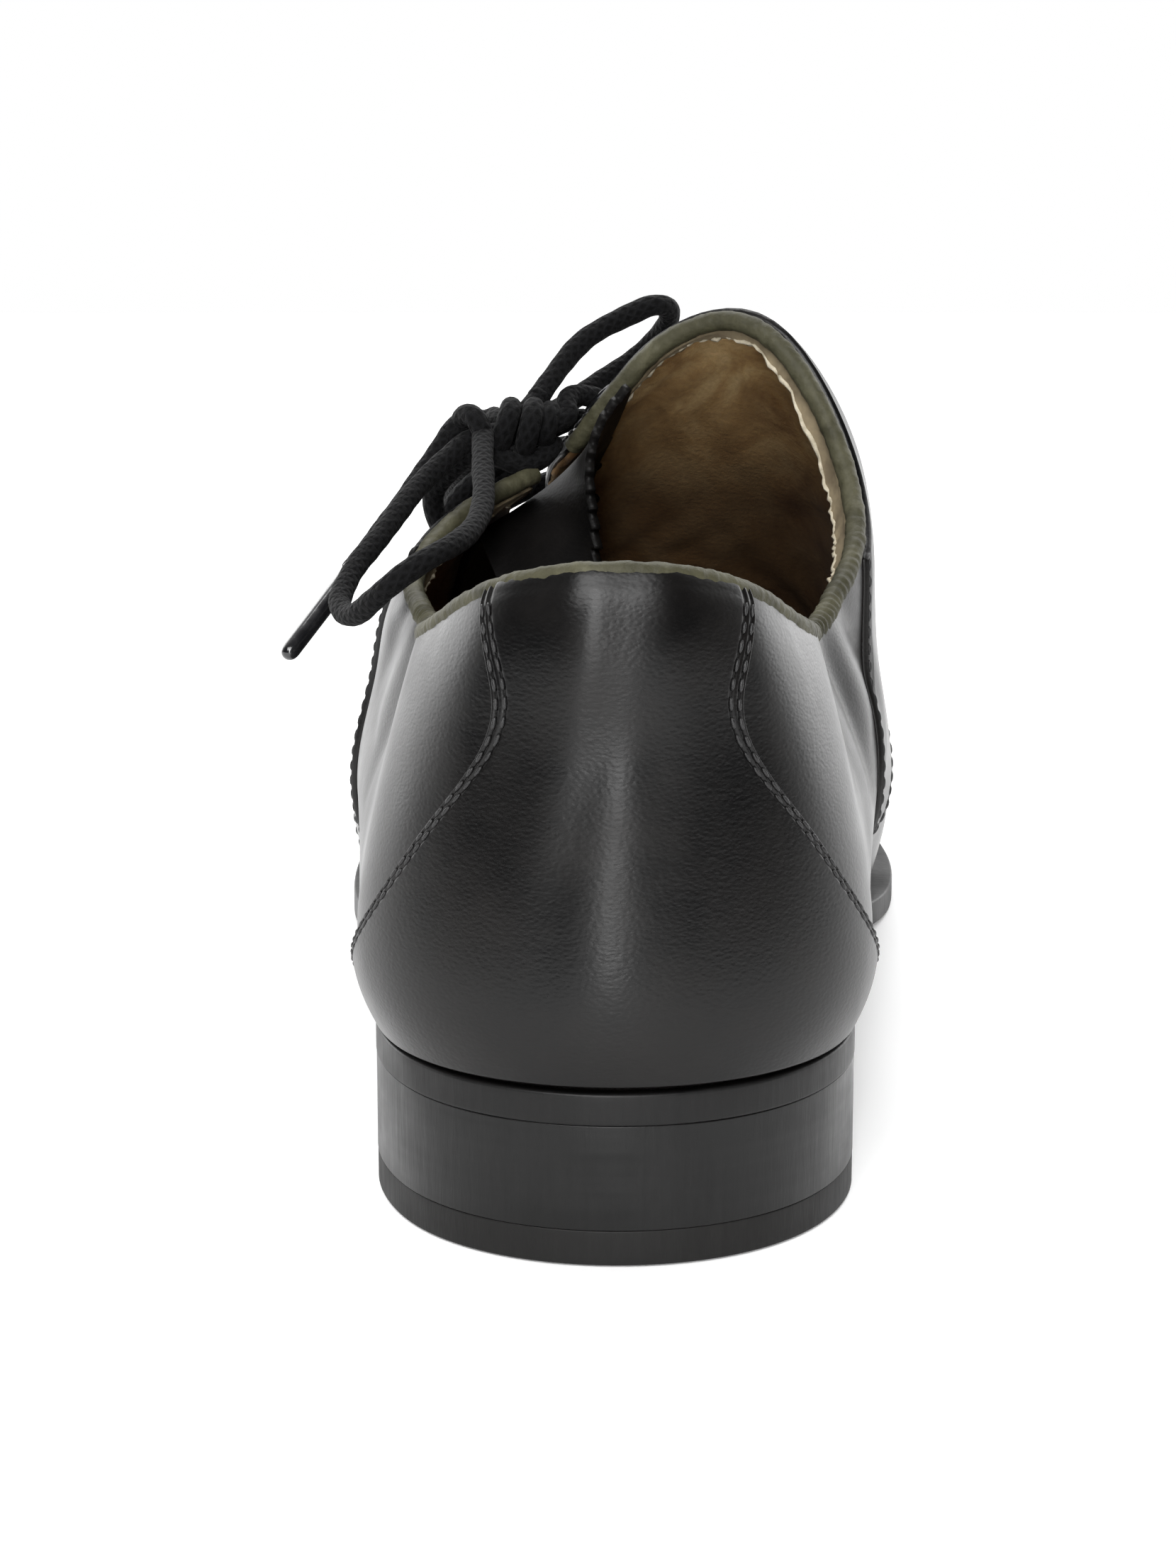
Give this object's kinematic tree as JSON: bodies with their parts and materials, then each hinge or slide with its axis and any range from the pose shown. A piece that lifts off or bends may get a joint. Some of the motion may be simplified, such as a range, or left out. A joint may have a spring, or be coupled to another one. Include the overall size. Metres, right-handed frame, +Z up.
{
  "type": "lace-up leather shoe",
  "caption": "Left derby shoe: black leather upper with offset lacing, bound topline, back counter, flat sole and low stacked heel.",
  "frame": {"origin": "on the floor, at the middle of the heel's top piece", "axes": "+Z up from the floor, +Y forward towards the toe, +X towards the inner (big toe) side of this left shoe"},
  "size_m": [0.1071, 0.3007, 0.1201],
  "materials": {
    "black_leather": "smooth, semi-gloss",
    "olive_binding": "rolled, softly wrinkled",
    "tan_lining": "matt, suede-like",
    "sole_leather": "satin",
    "heel_leather": "waxed satin",
    "top_piece_rubber": "matt",
    "eyelet_metal": "dark gloss",
    "black_cord": "fuzzy round braid",
    "aglet_plastic": "glossy"
  },
  "bodies": {
    "root": {"upper": "black_leather", "outsole": "sole_leather", "insole": "tan_lining", "heel_stack": "heel_leather", "heel_top_piece": "top_piece_rubber", "tongue": "black_leather", "heel_counter": "black_leather", "quarter_panel_medial": "black_leather", "quarter_panel_lateral": "black_leather", "topline_binding": "olive_binding", "eyelet_lateral_1": "eyelet_metal", "eyelet_medial_1": "eyelet_metal", "eyelet_lateral_2": "eyelet_metal", "eyelet_medial_2": "eyelet_metal", "eyelet_lateral_3": "eyelet_metal", "eyelet_medial_3": "eyelet_metal", "eyelet_lateral_4": "eyelet_metal", "eyelet_medial_4": "eyelet_metal", "lace_bar_2": "black_cord", "lace_bar_3": "black_cord", "lace_bar_4": "black_cord", "lace_knot": "black_cord", "lace_rise_medial": "black_cord", "lace_rise_lateral": "black_cord", "lace_loop_lateral": "black_cord", "lace_loop_medial": "black_cord", "lace_end_lateral": "black_cord", "aglet_lateral": "aglet_plastic", "lace_end_forward": "black_cord", "aglet_forward": "aglet_plastic"}
  },
  "joints": []
}
